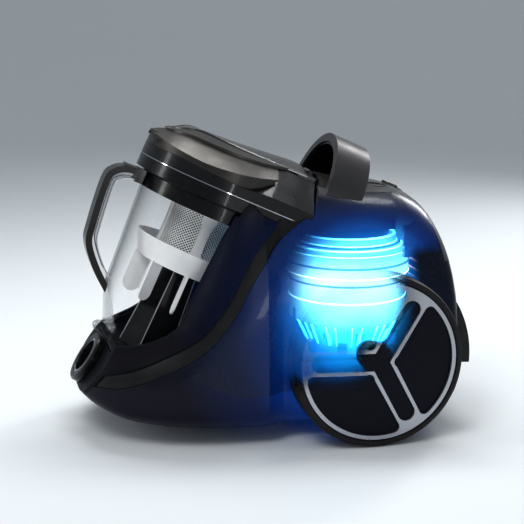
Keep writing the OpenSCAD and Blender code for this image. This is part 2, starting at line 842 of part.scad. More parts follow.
// collar bonded to the mouth of the bin, in one piece with the grip of the handle
module bin_rim() {
    color([0.04, 0.04, 0.04]) bin_frame() difference() {
        union() {
            translate([0, 0, bin_top + 0.05]) cylinder(r = 80.5, h = -15.2 - bin_top);
            translate([-88, -12, bin_top + 0.05]) cube([16, 24, -15.2 - bin_top]);
        }
        translate([0, 0, bin_top - 1]) cylinder(r = 75, h = 30);
    }
    color([0.05, 0.05, 0.05]) difference() {
        handle_strip(0, 7, 13);
        handle_root(0.1);
        bin_frame() translate([-104, -6.5, -22]) cube([10, 13, 20]);
    }
}

module bin_handle_core() {
    color([0.8, 0.85, 0.85, 0.35]) difference() {
        handle_strip(7.05, 12, 11);
        handle_root();
    }
}

// thumb button in the top of the front handle
module bin_release() {
    color([0.45, 0.45, 0.46]) bin_frame() translate([-103.6, -6.1, -19.8]) cube([9.2, 12.2, 4.2]);
}

// ---------------------------------------------------------------- separator and lid

module separator_collar() {
    color([0.03, 0.03, 0.03]) bin_frame() difference() {
        union() {
            translate([0, 0, -12.5]) linear_extrude(12.5) lid_outline(0);
            translate([0, 0, -28]) cylinder(r = 74, h = 16);
            translate([64, -42, -1]) cube([18, 84, 23]);
            for (y = [-31, 26]) {
                translate([hinge_x - 3.4, y, 20]) cube([6.8, 5, hinge_z - 20]);
                translate([hinge_x, 0, hinge_z]) y_rod(3.4, y, y + 5);
            }
        }
        translate([0, 0, -10]) cylinder(r = 72, h = 40);
        translate([0, 0, -40]) cylinder(r = 33, h = 40);
        translate([60, -36, -8]) cube([40, 72, 26]);
        translate([hinge_x, 0, hinge_z]) y_rod(2.02, -50, 50);
    }
}

module foam_filter() {
    color([0.35, 0.38, 0.42]) bin_frame() difference() {
        translate([0, 0, -9.8]) cylinder(r = 71.8, h = 18);
        translate([58, -50, -20]) cube([40, 100, 50]);
    }
}

// cage of the separator: two rings and six posts, with the white skirt and its hanging petals
module mesh_shroud() {
    color([0.93, 0.93, 0.93]) bin_frame() {
        translate([0, 0, -32]) tube(44, 32, 4);
        translate([0, 0, -97.3]) tube(39, 32, 10.3);
        for (a = [0 : 90 : 270]) rotate([0, 0, a - 4]) translate([33.6, -5, -88]) cube([4.6, 10, 57]);
        difference() {
            translate([0, 0, -98]) cylinder(r1 = 53, r2 = 62, h = 24);
            translate([0, 0, -96]) cylinder(r1 = 51.4, r2 = 60.2, h = 22.1);
            translate([0, 0, -120]) cylinder(r = 26, h = 60);
        }
        for (a = [0 : 45 : 315]) rotate([0, 0, a - 5]) translate([0, 1, 0]) rotate([90, 0, 0])
            linear_extrude(2) {
                translate([36, -132]) square([19, 35.3]);
                translate([45.5, -132]) circle(r = 9.5);
            }
    }
}

// woven screen between the posts
module mesh_screen() {
    color([0.7, 0.71, 0.72]) bin_frame() difference() {
        translate([0, 0, -87]) tube(36.4, 35.8, 55);
        for (a = [0 : 90 : 270]) rotate([0, 0, a - 4]) translate([30, -5.05, -90]) cube([10, 10.1, 60]);
    }
}

// smoked riser: dusty air climbs from the cup opening to the cyclone
module riser_duct() {
    color([0.12, 0.12, 0.13, 0.7]) bin_frame() difference() {
        translate([0, 0, -bin_depth + 2.6]) cylinder(r1 = 33, r2 = 24, h = bin_depth - 98.8, $fn = 6);
        translate([0, 0, -bin_depth + 1.6]) cylinder(r1 = 30.6, r2 = 22, h = bin_depth - 96.8, $fn = 6);
    }
}

// hollow tray of the lid: flat at the front, with shoulders that climb to the spine at the rear
function tray_ring(x, drop = 0) = let (e = ease((x - 2) / 36), a = 14 + 15 * e - drop, b = a + 15 * e)
    [[x, -90, 11 - drop], [x, -66, a], [x, -46, b], [x, 0, b + 2 * e], [x, 46, b], [x, 66, a],
        [x, 90, 11 - drop], [x, 90, -30], [x, -90, -30]];

module tray(drop = 0) {
    loft([for (x = [-96 : 6 : 90]) tray_ring(x, drop)]);
}

module lid_band() {
    color([0.32, 0.32, 0.33]) bin_frame() skin() difference() {
        intersection() {
            tray();
            translate([0, 0, 1.4]) linear_extrude(60) lid_outline(0);
        }
        intersection() {
            tray(3);
            translate([0, 0, -20]) linear_extrude(90) lid_outline(-3);
        }
        translate([62, -44, 0]) cube([40, 88, 60]);
        translate([0, 0, 5]) linear_extrude(60) offset(delta = -4) plan(spine_plan);
    }
}

module lid_trim() {
    color([0.85, 0.85, 0.86]) bin_frame() translate([0, 0, 0.45]) linear_extrude(0.9) difference() {
        lid_outline(0.5);
        lid_outline(-3);
        translate([78, -big]) square([40, 2 * big]);
    }
}

// heights of the lid above the joint, front to rear: outer rim of the plate, step between plate
// and facet, ridge between facet and spine, and the top of the spine
rim_line = smooth_line([[-92, 26], [-77, 22], [-60, 19.8], [-40, 19], [-15, 21.4], [10, 25.6], [40, 32.5]]);
step_line = smooth_line([[-100, 21], [-91, 27], [-78, 33], [-58, 36.8], [-36, 37], [-8, 37.8], [22, 40],
    [52, 45.5]]);
ridge_line = smooth_line([[-78, 32], [-70, 36.5], [-58, 42.5], [-46, 45.5], [-30, 45.6], [0, 45],
    [40, 45.2], [90, 47]]);
spine_line = smooth_line([[-78, 33], [-70, 38], [-60, 42.8], [-48, 46.8], [-30, 48.2], [0, 50],
    [35, 53.2], [66, 56], [90, 54]]);

// half outline of each level seen from above: x and half width
plate_plan = smooth_line([[-91, 6], [-88, 24], [-77, 46], [-60, 65], [-40, 78], [-15, 85.4],
    [10, 84], [38, 70]]);
facet_plan = smooth_line([[-78, 6], [-72, 22], [-58, 38], [-36, 50], [-8, 57], [22, 55], [50, 46]]);
spine_plan = smooth_line([[-69, 4], [-58, 16], [-40, 26], [-10, 35], [30, 42], [lid_back, 46]]);

module plan(l) {
    polygon(concat([for (p = l) p], [for (i = [len(l) - 1 : -1 : 0]) [l[i][0], -l[i][1]]]));
}

// a roof across the lid: outer height at half width w1, inner height at w0, crowned in between
function roof_half(w0, h0, w1, h1, top) = let (slope = (h0 - h1) / (w1 - w0)) [
    [95, h1 - slope * (95 - w1)], [w1, h1], [w1 * 0.6 + w0 * 0.4, h1 * 0.6 + h0 * 0.4 + 1.1],
    [w1 * 0.25 + w0 * 0.75, h1 * 0.25 + h0 * 0.75 + 0.9], [w0, h0], [w0 * 0.5, h0 + (top - h0) * 0.75],
    [0, top]];
function roof_points(x, half, drop) = concat(
    [for (p = half) [x, -p[0], p[1] - drop]],
    [for (i = [len(half) - 2 : -1 : 0]) [x, half[i][0], half[i][1] - drop]],
    [[x, 95, -40], [x, -95, -40]]);

module plate_roof(drop = 0) {
    loft([for (x = [-98 : 7 : 63]) let (h = follow(step_line, x))
        roof_points(x, roof_half(follow(facet_plan, x) - 1.3, h, follow(plate_plan, x) + 0.7,
            follow(rim_line, x), h + 1), drop)]);
}

module facet_roof(drop = 0) {
    loft([for (x = [-84 : 7 : 91]) let (h = follow(ridge_line, x))
        roof_points(x, roof_half(follow(spine_plan, x) - 1.3, h, follow(facet_plan, x) + 1.1,
            follow(step_line, x) + 2, h + 1), drop)]);
}

module spine_roof(drop = 0) {
    loft([for (x = [-80 : 7 : 88]) let (h = follow(ridge_line, x) + 0.9, w = follow(spine_plan, x))
        roof_points(x, roof_half(w * 0.9, h + 0.4, w + 1, h - 0.6, follow(spine_line, x)), drop)]);
}

// crescent plate with a thin overhanging rim and a wall set back under it
module lid_plate() {
    color([0.42, 0.41, 0.38]) bin_frame() skin() difference() {
        union() {
            intersection() {
                difference() {
                    plate_roof();
                    plate_roof(2.4);
                }
                translate([0, 0, 10]) linear_extrude(60) plan(plate_plan);
            }
            intersection() {
                plate_roof(1.2);
                translate([0, 0, 10]) linear_extrude(60) difference() {
                    offset(delta = -1.8) plan(plate_plan);
                    offset(delta = -4.2) plan(plate_plan);
                }
            }
        }
        tray(-0.05);
    }
}

module lid_facet() {
    color([0.46, 0.45, 0.42]) bin_frame() skin() difference() {
        intersection() {
            facet_roof();
            linear_extrude(90) plan(facet_plan);
        }
        plate_roof(-0.05);
        tray(-0.05);
        linear_extrude(90) plan(spine_plan);
    }
}

module lid_spine() {
    color([0.3, 0.29, 0.28]) bin_frame() skin() difference() {
        intersection() {
            spine_roof();
            linear_extrude(90) offset(delta = -0.1) plan(spine_plan);
        }
        intersection() {
            spine_roof(3);
            linear_extrude(90) offset(delta = -3) plan(spine_plan);
        }
        plate_roof(-0.05);
        tray(-0.05);
        translate([hinge_x - 6, -31.5, 0]) cube([20, 63, 90]);
    }
}

// knuckles under the spine with the pin fixed in them, which turns in the ears of the collar
module lid_hinge() {
    color([0.3, 0.29, 0.28]) bin_frame() {
        for (y = [-25.6, 8]) {
            translate([hinge_x, 0, hinge_z]) y_rod(3.4, y, y + 17.6);
            translate([hinge_x - 20, y, hinge_z - 5.6]) cube([20, 17.6, 3.2]);
        }
        translate([hinge_x, 0, hinge_z]) y_rod(2, -31, 31);
    }
}

// ---------------------------------------------------------------- nodes

base_hull();
side_shell_left();
side_shell_right();
sweep_trim();
cradle_band();
bin_bay();
hose_socket();
hose_collar();
air_seals();
inlet_duct();
top_cover();
carry_handle();
handle_lining();
rear_bumper();
exhaust_cover();
exhaust_grille();
hepa_frame();
hepa_media();
outlet_duct();
control_board();
cord_outlet();
reel_base();
motor_cradle();
motor_cover();
motor_can();
stator();
motor_bearings();
axles();
caster_cup();
base_screws();
rotor();
impeller();
reel_drum();
tyre_left();
wheel_left();
wheel_inlay_left();
tyre_right();
wheel_right();
wheel_inlay_right();
caster_fork();
caster_wheel();
bin_body();
bin_rim();
bin_handle_core();
bin_release();
separator_collar();
bin_seal();
mesh_shroud();
mesh_screen();
riser_duct();
foam_filter();
lid_band();
lid_trim();
lid_plate();
lid_facet();
lid_spine();
lid_hinge();
power_button();
rewind_button();
suction_dial();
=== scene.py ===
"""Looks of the canister vacuum cleaner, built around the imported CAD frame.

Everything is in metres in the shared frame: -X is the nose, +Z is up and the floor is z = 0. The new pieces
are drawn in millimetres, those of the dust bin, separator and lid in the leaning frame of the bin.
"""
import json
import math

import bpy
import numpy as np
from mathutils import Matrix, Vector


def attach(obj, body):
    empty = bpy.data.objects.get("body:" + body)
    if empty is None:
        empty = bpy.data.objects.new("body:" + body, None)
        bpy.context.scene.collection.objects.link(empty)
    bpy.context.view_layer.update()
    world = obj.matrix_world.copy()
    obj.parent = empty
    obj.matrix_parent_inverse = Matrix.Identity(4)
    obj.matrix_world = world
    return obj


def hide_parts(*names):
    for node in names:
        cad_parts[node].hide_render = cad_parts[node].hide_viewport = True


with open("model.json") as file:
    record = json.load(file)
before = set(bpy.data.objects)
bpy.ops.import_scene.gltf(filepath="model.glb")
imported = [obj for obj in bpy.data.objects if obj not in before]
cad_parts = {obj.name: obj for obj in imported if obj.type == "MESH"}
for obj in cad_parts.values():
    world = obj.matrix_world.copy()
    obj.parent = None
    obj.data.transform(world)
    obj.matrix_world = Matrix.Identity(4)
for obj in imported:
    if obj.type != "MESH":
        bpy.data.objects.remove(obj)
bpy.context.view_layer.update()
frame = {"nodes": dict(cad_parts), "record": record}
nodes = frame["nodes"]

MM = 0.001
BIN_TILT = math.radians(24.5)
BIN_AT = Vector((-0.046, 0, 0.257))
BIN_FRAME = Matrix.Translation(BIN_AT) @ Matrix.Rotation(BIN_TILT, 4, "Y")
MOTOR_AXIS = Vector((0.1, 0, 0))
SMOOTH_ANGLE = math.radians(32)

# the middle of the motor with its painted glow, from which the shells grow denser
GLOW_AT = (0.098, 0, 0.145)
# the painted glow that spreads in the shells round it sits a little lower and further forward
PAINTED_HALO_AT = (0.084, 0, 0.128)
# spans over which the shells close: upward in z, rearward in x, and the z where the closed tail ends
TOP_CLOSES = (0.226, 0.258)
TAIL_CLOSES = (0.13, 0.15)
TAIL_ENDS = (0.188, 0.206)
# the wheels fade out towards these two places and stay solid at the hub, all seen from the side
WHEEL_CLEAR_AT = (0.045, 0, 0.15)
WHEEL_FRONT_CLEAR_AT = (-0.005, 0, 0.12)
WHEEL_HUB = (0.09, 0, 0.091)
SIDE_VIEW = (1, 0, 1)

# ---------------------------------------------------------------- camera, floor and light


def add_camera():
    """View of the left side, a little from the front and from above, with an 85 mm lens."""
    azimuth, elevation, distance = math.radians(-14), math.radians(12), 1.358
    target = Vector((0.002, 0, 0.1704))
    back = Vector((
        math.sin(azimuth) * math.cos(elevation),
        -math.cos(azimuth) * math.cos(elevation),
        math.sin(elevation),
    ))
    data = bpy.data.cameras.new("camera")
    data.lens = 85
    data.sensor_width = 36
    camera = bpy.data.objects.new("camera", data)
    camera.location = target + back * distance
    camera.rotation_euler = (-back).to_track_quat("-Z", "Y").to_euler()
    bpy.context.scene.collection.objects.link(camera)
    bpy.context.scene.camera = camera


def add_area_light(name, place, aim, size, energy):
    data = bpy.data.lights.new(name, "AREA")
    data.shape = "RECTANGLE"
    data.size, data.size_y = size
    data.energy = energy
    lamp = bpy.data.objects.new(name, data)
    lamp.location = place
    lamp.rotation_euler = (Vector(aim) - Vector(place)).to_track_quat("-Z", "Y").to_euler()
    bpy.context.scene.collection.objects.link(lamp)


def add_studio():
    """Plain pale floor that curves up into a plain wall all round, and soft lights."""
    world = bpy.data.worlds.new("studio")
    world.use_nodes = True
    world.node_tree.nodes["Background"].inputs["Color"].default_value = (0.88, 0.92, 0.96, 1)
    world.node_tree.nodes["Background"].inputs["Strength"].default_value = 0.42
    bpy.context.scene.world = world
    middle = (0, 0, 0.15)
    add_area_light("key", (-0.7, -0.9, 1.5), middle, (0.6, 0.7), 9)
    add_area_light("top_strip", (0.1, 0.3, 1.2), middle, (1.2, 0.25), 9)
    add_area_light("rear_rim", (1.2, 0.9, 0.9), middle, (0.3, 0.8), 8)
    add_area_light("nose_strip", (-1.5, 0.1, 0.6), middle, (0.2, 0.9), 4)
    add_area_light("front_strip", (0.12, -1.45, 0.3), middle, (0.06, 0.7), 1.6)

    flat, bend, wall_top, steps = 2.6, 1.4, 2.6, 72
    bend_angles = [math.radians(9 * k) for k in range(11)]
    profile = [(flat + bend * math.sin(t), bend - bend * math.cos(t)) for t in bend_angles]
    profile.append((flat + bend, wall_top))
    verts = [(r * math.cos(math.tau * k / steps), r * math.sin(math.tau * k / steps), z)
             for r, z in profile for k in range(steps)]
    faces = [tuple(range(steps))]
    for i in range(len(profile) - 1):
        for k in range(steps):
            m = (k + 1) % steps
            faces.append((i * steps + m, i * steps + k, (i + 1) * steps + k, (i + 1) * steps + m))
    mesh = bpy.data.meshes.new("studio_floor")
    mesh.from_pydata(verts, [], faces)
    mesh.polygons.foreach_set("use_smooth", np.ones(len(mesh.polygons), bool))
    floor = bpy.data.objects.new("studio_floor", mesh)
    bpy.context.scene.collection.objects.link(floor)
    paint, _, shader = new_material("floor_paint")
    shader.inputs["Base Color"].default_value = (0.7, 0.73, 0.75, 1)
    shader.inputs["Roughness"].default_value = 0.9
    shader.inputs["Specular IOR Level"].default_value = 0.1
    floor.data.materials.append(paint)


# ---------------------------------------------------------------- materials


def new_material(name):
    material = bpy.data.materials.new(name)
    material.use_nodes = True
    tree = material.node_tree
    return material, tree, tree.nodes["Principled BSDF"]


def object_coordinates(tree):
    return tree.nodes.new("ShaderNodeTexCoord").outputs["Object"]


def noise(tree, scale, detail=3.0):
    node = tree.nodes.new("ShaderNodeTexNoise")
    node.inputs["Scale"].default_value = scale
    node.inputs["Detail"].default_value = detail
    node.inputs["Roughness"].default_value = 0.55
    tree.links.new(object_coordinates(tree), node.inputs["Vector"])
    return node.outputs["Fac"]


def remap(tree, value, low, high, to_low, to_high, smooth=True):
    node = tree.nodes.new("ShaderNodeMapRange")
    node.interpolation_type = "SMOOTHSTEP" if smooth else "LINEAR"
    for key, number in zip(("From Min", "From Max", "To Min", "To Max"), (low, high, to_low, to_high)):
        node.inputs[key].default_value = number
    tree.links.new(value, node.inputs["Value"])
    return node.outputs["Result"]


def combine(tree, kind, first, second):
    node = tree.nodes.new("ShaderNodeMath")
    node.operation = kind
    for socket, value in zip(node.inputs, (first, second)):
        if isinstance(value, (int, float)):
            socket.default_value = value
        else:
            tree.links.new(value, socket)
    return node.outputs["Value"]


def distance_from(tree, point, stretch):
    """Distance from a point of the shared frame, with each axis scaled by stretch."""
    shift = tree.nodes.new("ShaderNodeVectorMath")
    shift.operation = "SUBTRACT"
    shift.inputs[1].default_value = point
    tree.links.new(object_coordinates(tree), shift.inputs[0])
    scale = tree.nodes.new("ShaderNodeVectorMath")
    scale.operation = "MULTIPLY"
    scale.inputs[1].default_value = stretch
    tree.links.new(shift.outputs["Vector"], scale.inputs[0])
    length = tree.nodes.new("ShaderNodeVectorMath")
    length.operation = "LENGTH"
    tree.links.new(scale.outputs["Vector"], length.inputs[0])
    return length.outputs["Value"]


def axis_value(tree, axis):
    split = tree.nodes.new("ShaderNodeSeparateXYZ")
    tree.links.new(object_coordinates(tree), split.inputs["Vector"])
    return split.outputs[axis]


def colour_ramp(tree, value, stops):
    ramp = tree.nodes.new("ShaderNodeValToRGB")
    elements = ramp.color_ramp.elements
    elements[0].position, elements[0].color = stops[0][0], (*stops[0][1], 1)
    elements[1].position, elements[1].color = stops[-1][0], (*stops[-1][1], 1)
    for place, colour in stops[1:-1]:
        elements.new(place).color = (*colour, 1)
    tree.links.new(value, ramp.inputs["Fac"])
    return ramp.outputs["Color"]


def add_bump(tree, shader, height, strength, distance):
    bump = tree.nodes.new("ShaderNodeBump")
    bump.inputs["Strength"].default_value = strength
    bump.inputs["Distance"].default_value = distance
    tree.links.new(height, bump.inputs["Height"])
    tree.links.new(bump.outputs["Normal"], shader.inputs["Normal"])


def wave(tree, scale, depth):
    """Noise centred on zero and as wide as depth."""
    return combine(tree, "MULTIPLY", combine(tree, "SUBTRACT", noise(tree, scale), 0.5), depth)


def uneven_gloss(tree, shader, scale, low, high):
    """Roughness that drifts between two values in patches of noise."""
    tree.links.new(remap(tree, noise(tree, scale), 0.3, 0.7, low, high), shader.inputs["Roughness"])


def plastic(name, colour, rough, grain=0.25, coat=0.0, metallic=0.0, scale=900.0, spec=0.5):
    """Moulded plastic or paint: fine grain, a little uneven in gloss and tone."""
    material, tree, shader = new_material(name)
    shader.inputs["Metallic"].default_value = metallic
    shader.inputs["Specular IOR Level"].default_value = spec
    shader.inputs["Coat Weight"].default_value = coat
    shader.inputs["Coat Roughness"].default_value = 0.06
    tone = noise(tree, 18.0)
    dark = tuple(0.86 * c for c in colour)
    light = tuple(min(1.0, 1.1 * c) for c in colour)
    tree.links.new(colour_ramp(tree, tone, [(0.3, dark), (0.7, light)]), shader.inputs["Base Color"])
    uneven_gloss(tree, shader, 60.0, rough * 0.88, min(1.0, rough * 1.12))
    if grain:
        add_bump(tree, shader, noise(tree, scale, 2.0), grain, 0.0001)
    return material


def smoked(name, colour, rough, clear, dense, reach, painted_glow, coat=0.35, stretch=(1, 0.35, 1), spec=0.35):
    """Smoked clear plastic: nearly clear round the motor and almost opaque further out.

    It also carries a painted blue glow, emitted by the plastic itself in place of the motor's light behind
    it, with the strength given and fading outward.
    """
    material, tree, shader = new_material(name)
    shader.inputs["Base Color"].default_value = (*colour, 1)
    shader.inputs["Coat Weight"].default_value = coat
    shader.inputs["Coat Roughness"].default_value = 0.05
    shader.inputs["Specular IOR Level"].default_value = spec
    far = distance_from(tree, GLOW_AT, stretch)
    alpha = remap(tree, combine(tree, "ADD", far, wave(tree, 9.0, 0.05)), *reach, clear, dense)
    height = axis_value(tree, "Z")
    top = remap(tree, height, *TOP_CLOSES, 0.0, 0.985)
    tail = combine(tree, "MULTIPLY", remap(tree, axis_value(tree, "X"), *TAIL_CLOSES, 0.0, 0.97),
                   remap(tree, height, *TAIL_ENDS, 1.0, 0.0))
    closed = combine(tree, "MAXIMUM", top, tail)
    alpha = combine(tree, "MAXIMUM", alpha, closed)
    tree.links.new(alpha, shader.inputs["Alpha"])
    uneven_gloss(tree, shader, 40.0, rough * 0.85, rough * 1.15)
    # painted glow: blue emission, strongest round the motor and fading outward
    painted_halo = remap(tree, distance_from(tree, PAINTED_HALO_AT, SIDE_VIEW), 0.045, 0.2, 0.0, 1.0, smooth=False)
    blue = colour_ramp(tree, painted_halo, [(0.0, (0.004, 0.3, 0.8)), (0.1, (0.003, 0.28, 0.9)),
                                    (0.22, (0.0015, 0.12, 0.5)), (0.38, (0.0008, 0.032, 0.19)),
                                    (0.62, (0.0005, 0.008, 0.05)), (1.0, (0.0, 0.0, 0.004))])
    tree.links.new(blue, shader.inputs["Emission Color"])
    # divided by alpha, because the nearly clear plastic would otherwise hide its painted glow
    strength = combine(tree, "MULTIPLY", combine(tree, "SUBTRACT", 1.0, closed), painted_glow)
    strength = combine(tree, "DIVIDE", strength, combine(tree, "MAXIMUM", alpha, 0.08))
    tree.links.new(strength, shader.inputs["Emission Strength"])
    return material


def facing(tree, blend):
    """0 where a face looks at the camera, up to 1 where it is seen along its side."""
    node = tree.nodes.new("ShaderNodeLayerWeight")
    node.inputs["Blend"].default_value = blend
    return node.outputs["Facing"]


def clear_plastic(name, colour, alpha, edge, rough=0.06):
    """Clear plastic: see-through face on, dense where it is seen along its wall."""
    material, tree, shader = new_material(name)
    shader.inputs["Base Color"].default_value = (*colour, 1)
    shader.inputs["IOR"].default_value = 1.5
    uneven_gloss(tree, shader, 25.0, rough * 0.7, rough * 1.5)
    tree.links.new(remap(tree, facing(tree, 0.25), 0.15, 1.0, alpha, edge), shader.inputs["Alpha"])
    return material


def painted_glow_part(name, colour, strength, rough=0.25, metallic=0.0, alpha=1.0):
    """A motor part with a painted glow, though it is no lamp: pale cyan at mid height, blue low down and at
    the top.
    """
    material, tree, shader = new_material(name)
    shader.inputs["Base Color"].default_value = (*colour, 1)
    shader.inputs["Metallic"].default_value = metallic
    shader.inputs["Alpha"].default_value = alpha
    level = remap(tree, axis_value(tree, "Z"), 0.07, 0.21, 0.0, 1.0, smooth=False)
    level = combine(tree, "ADD", level, wave(tree, 30.0, 0.12))
    painted_glow = colour_ramp(tree, level, [(0.0, (0.01, 0.2, 0.9)), (0.2, (0.05, 0.6, 1.0)),
                                     (0.42, (0.28, 0.84, 1.0)), (0.62, (0.46, 0.9, 1.0)),
                                     (0.8, (0.14, 0.66, 1.0)), (1.0, (0.05, 0.4, 1.0))])
    tree.links.new(painted_glow, shader.inputs["Emission Color"])
    tree.links.new(remap(tree, facing(tree, 0.4), 0.0, 0.9, strength, strength * 0.35),
                   shader.inputs["Emission Strength"])
    uneven_gloss(tree, shader, 80.0, rough * 0.8, rough * 1.2)
    return material


def brushed(name, colour, rough):
    """Metal with fine lines round the upright axis."""
    material, tree, shader = new_material(name)
    shader.inputs["Base Color"].default_value = (*colour, 1)
    shader.inputs["Metallic"].default_value = 1.0
    mapping = tree.nodes.new("ShaderNodeMapping")
    mapping.inputs["Scale"].default_value = (4, 4, 900)
    tree.links.new(object_coordinates(tree), mapping.inputs["Vector"])
    lines = tree.nodes.new("ShaderNodeTexNoise")
    lines.inputs["Scale"].default_value = 3.0
    tree.links.new(mapping.outputs["Vector"], lines.inputs["Vector"])
    tree.links.new(remap(tree, lines.outputs["Fac"], 0.3, 0.7, rough * 0.7, rough * 1.3),
                   shader.inputs["Roughness"])
    add_bump(tree, shader, lines.outputs["Fac"], 0.08, 0.0001)
    return material


def rubber(name, colour, rough):
    """Matt rubber, uneven in tone, with a fine grain."""
    material, tree, shader = new_material(name)
    shader.inputs["Specular IOR Level"].default_value = 0.35
    dark = tuple(0.75 * c for c in colour)
    light = tuple(1.25 * c for c in colour)
    tree.links.new(colour_ramp(tree, noise(tree, 35.0, 5.0), [(0.3, dark), (0.7, light)]),
                   shader.inputs["Base Color"])
    uneven_gloss(tree, shader, 120.0, rough * 0.85, rough)
    add_bump(tree, shader, noise(tree, 700.0, 3.0), 0.35, 0.0002)
    return material


def foam(name, colour):
    """Open-cell foam with painted shade darkening its pores."""
    material, tree, shader = new_material(name)
    cells = tree.nodes.new("ShaderNodeTexVoronoi")
    cells.inputs["Scale"].default_value = 420.0
    tree.links.new(object_coordinates(tree), cells.inputs["Vector"])
    # painted shade: the pores are darker than the struts between them
    dark = tuple(0.4 * c for c in colour)
    tree.links.new(colour_ramp(tree, cells.outputs["Distance"], [(0.1, dark), (0.6, colour)]),
                   shader.inputs["Base Color"])
    shader.inputs["Roughness"].default_value = 0.95
    add_bump(tree, shader, cells.outputs["Distance"], 0.8, 0.0006)
    return material


def ghosted(name, colour, rough, metallic, spec=0.3):
    """Part of a wheel: solid at the hub and the lower rear, nearly see-through towards the motor with its
    painted glow.
    """
    material, tree, shader = new_material(name)
    shader.inputs["Base Color"].default_value = (*colour, 1)
    shader.inputs["Metallic"].default_value = metallic
    shader.inputs["Specular IOR Level"].default_value = spec
    hub = remap(tree, distance_from(tree, WHEEL_HUB, SIDE_VIEW), 0.013, 0.024, 0.97, 0.0)
    front = remap(tree, distance_from(tree, WHEEL_FRONT_CLEAR_AT, SIDE_VIEW), 0.04, 0.062, 0.05, 1.0)
    upper = remap(tree, distance_from(tree, WHEEL_CLEAR_AT, SIDE_VIEW), 0.054, 0.094, 0.05, 1.0)
    solid = combine(tree, "MINIMUM", front, upper)
    tree.links.new(combine(tree, "MAXIMUM", hub, solid), shader.inputs["Alpha"])
    uneven_gloss(tree, shader, 90.0, rough * 0.85, rough * 1.1)
    add_bump(tree, shader, noise(tree, 700.0, 3.0), 0.15, 0.0002)
    return material


MATERIALS = {
    # smoked shells; the number after the reach pair is the strength of their painted blue glow
    "dark_shell": lambda name: smoked(name, (0.008, 0.008, 0.011), 0.34, 0.8, 1.0, (0.08, 0.18), 0.9,
                                      coat=0.1, spec=0.12),
    "smoked_shell": lambda name: smoked(name, (0.006, 0.007, 0.012), 0.28, 0.1, 0.96, (0.062, 0.115), 0.5,
                                        coat=0.12, stretch=(1, 0.25, 1.1), spec=0.2),
    "bay_black": lambda name: smoked(name, (0.008, 0.009, 0.014), 0.35, 0.08, 0.96, (0.078, 0.16), 0.3),
    "smoky_band": lambda name: smoked(name, (0.006, 0.006, 0.008), 0.42, 0.8, 1.0, (0.12, 0.24), 0.3,
                                      coat=0.0, spec=0.08),
    "black_trim": lambda name: plastic(name, (0.008, 0.008, 0.009), 0.4, spec=0.3),
    "gloss_band": lambda name: plastic(name, (0.010, 0.010, 0.011), 0.3, coat=0.2, grain=0.05, spec=0.2),
    "black_gloss": lambda name: plastic(name, (0.003, 0.003, 0.0035), 0.26, coat=0.15, grain=0.04, spec=0.3),
    "grey_gloss": lambda name: plastic(name, (0.028, 0.027, 0.026), 0.3, coat=0.3, grain=0.06),
    "hoop_grey": lambda name: plastic(name, (0.06, 0.058, 0.06), 0.34, metallic=0.5, grain=0.08),
    "bronze_satin": lambda name: plastic(name, (0.06, 0.057, 0.053), 0.36, metallic=0.8, grain=0.14),
    "silver_satin": lambda name: plastic(name, (0.11, 0.11, 0.115), 0.33, metallic=0.7, grain=0.12),
    "bright_trim": lambda name: plastic(name, (0.62, 0.62, 0.64), 0.12, metallic=1.0, grain=0.0),
    "white_plastic": lambda name: plastic(name, (0.93, 0.93, 0.93), 0.35, grain=0.1),
    "mesh_steel": lambda name: plastic(name, (0.6, 0.61, 0.62), 0.3, metallic=0.9, grain=0.0),
    "filter_white": lambda name: plastic(name, (0.10, 0.12, 0.16), 0.85, grain=0.5, scale=300.0),
    "frame_grey": lambda name: plastic(name, (0.17, 0.18, 0.21), 0.3),
    "board_green": lambda name: plastic(name, (0.003, 0.02, 0.02), 0.5),
    "reel_grey": lambda name: plastic(name, (0.012, 0.016, 0.035), 0.4),
    "edge_clear": lambda name: plastic(name, (0.5, 0.5, 0.5), 0.15, coat=0.5, grain=0.0),
    "wheel_silver": lambda name: ghosted(name, (0.42, 0.43, 0.46), 0.3, 0.8),
    "wheel_dark": lambda name: ghosted(name, (0.006, 0.007, 0.012), 0.35, 0.0, spec=0.12),
    "tyre_rubber": lambda name: ghosted(name, (0.018, 0.017, 0.018), 0.65, 0.0, spec=0.2),
    "clear_bin": lambda name: clear_plastic(name, (0.03, 0.034, 0.037), 0.035, 0.75),
    "clear_core": lambda name: clear_plastic(name, (0.05, 0.05, 0.052), 0.12, 0.8),
    "smoked_column": lambda name: clear_plastic(name, (0.006, 0.006, 0.007), 0.8, 1.0, 0.1),
    # motor parts with a painted glow; motor_line is near white and serves as painted highlight lines
    "motor_shell": lambda name: painted_glow_part(name, (0.01, 0.2, 0.3), 2.1, rough=0.2),
    "motor_band": lambda name: painted_glow_part(name, (0.01, 0.1, 0.3), 0.45, rough=0.2),
    "motor_line": lambda name: painted_glow_part(name, (0.9, 0.95, 1.0), 9.0, rough=0.2),
    "copper_pack": lambda name: painted_glow_part(name, (0.1, 0.4, 0.6), 1.5),
    "fan_alloy": lambda name: painted_glow_part(name, (0.4, 0.8, 1.0), 3.0, metallic=0.5),
    # faint painted glow on the ribs inside the body
    "ghost_rib": lambda name: painted_glow_part(name, (0.1, 0.13, 0.2), 0.12, rough=0.3, alpha=0.6),
    "steel": lambda name: brushed(name, (0.03, 0.035, 0.05), 0.4),
    "soft_rubber": lambda name: rubber(name, (0.010, 0.010, 0.010), 0.6),
    "foam_grey": lambda name: foam(name, (0.05, 0.06, 0.08)),
}

made = {}


def material_of(slot):
    """The material of a slot, made the first time it is asked for."""
    if slot not in made:
        made[slot] = MATERIALS[slot](slot)
    return made[slot]


# ---------------------------------------------------------------- shading of the CAD nodes


